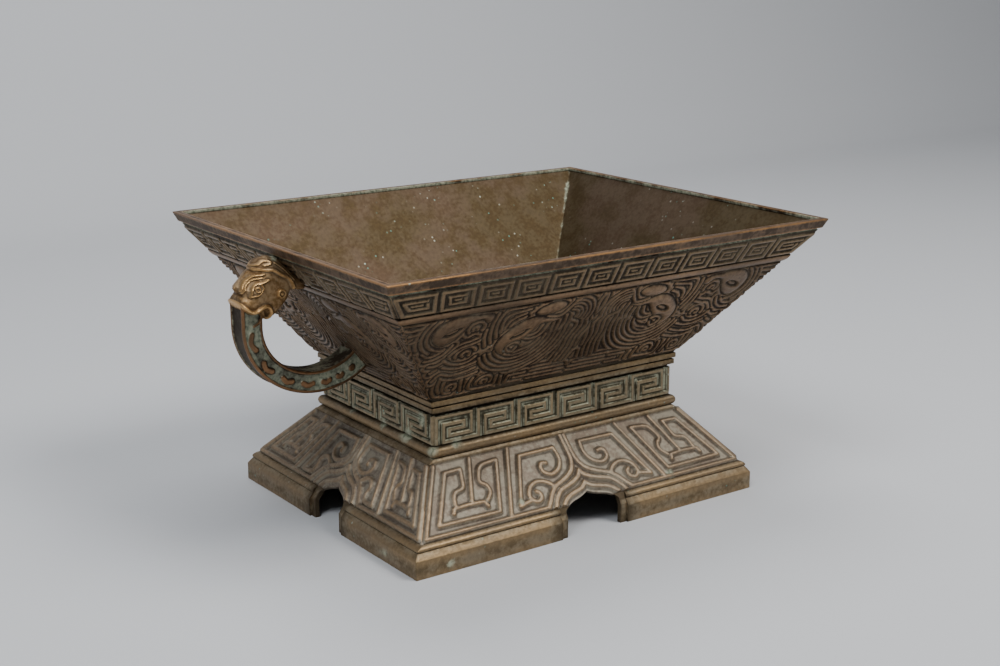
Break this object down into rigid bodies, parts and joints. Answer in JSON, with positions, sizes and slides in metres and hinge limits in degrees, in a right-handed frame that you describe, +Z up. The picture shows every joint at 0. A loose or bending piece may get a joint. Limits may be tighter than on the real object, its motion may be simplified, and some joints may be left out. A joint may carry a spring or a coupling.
{
  "type": "bronze fu",
  "caption": "Oblong bronze food vessel with a flared bowl, a hollow notched foot, carved bands and a beast-head loop handle at each end.",
  "frame": {"origin": "middle of the footprint, on the ground that the foot stands on", "axes": "+X along the long sides towards the right handle, +Y towards the back, +Z up"},
  "size_m": [0.3418, 0.243, 0.1665],
  "materials": {
    "cast_bronze": "cast bronze with dark brown patina and verdigris in the recesses",
    "handle_bronze": "rubbed golden brown bronze with verdigris in the recesses"
  },
  "bodies": {
    "root": {"vessel": "cast_bronze", "handle_left": "handle_bronze", "handle_right": "handle_bronze"}
  },
  "joints": []
}
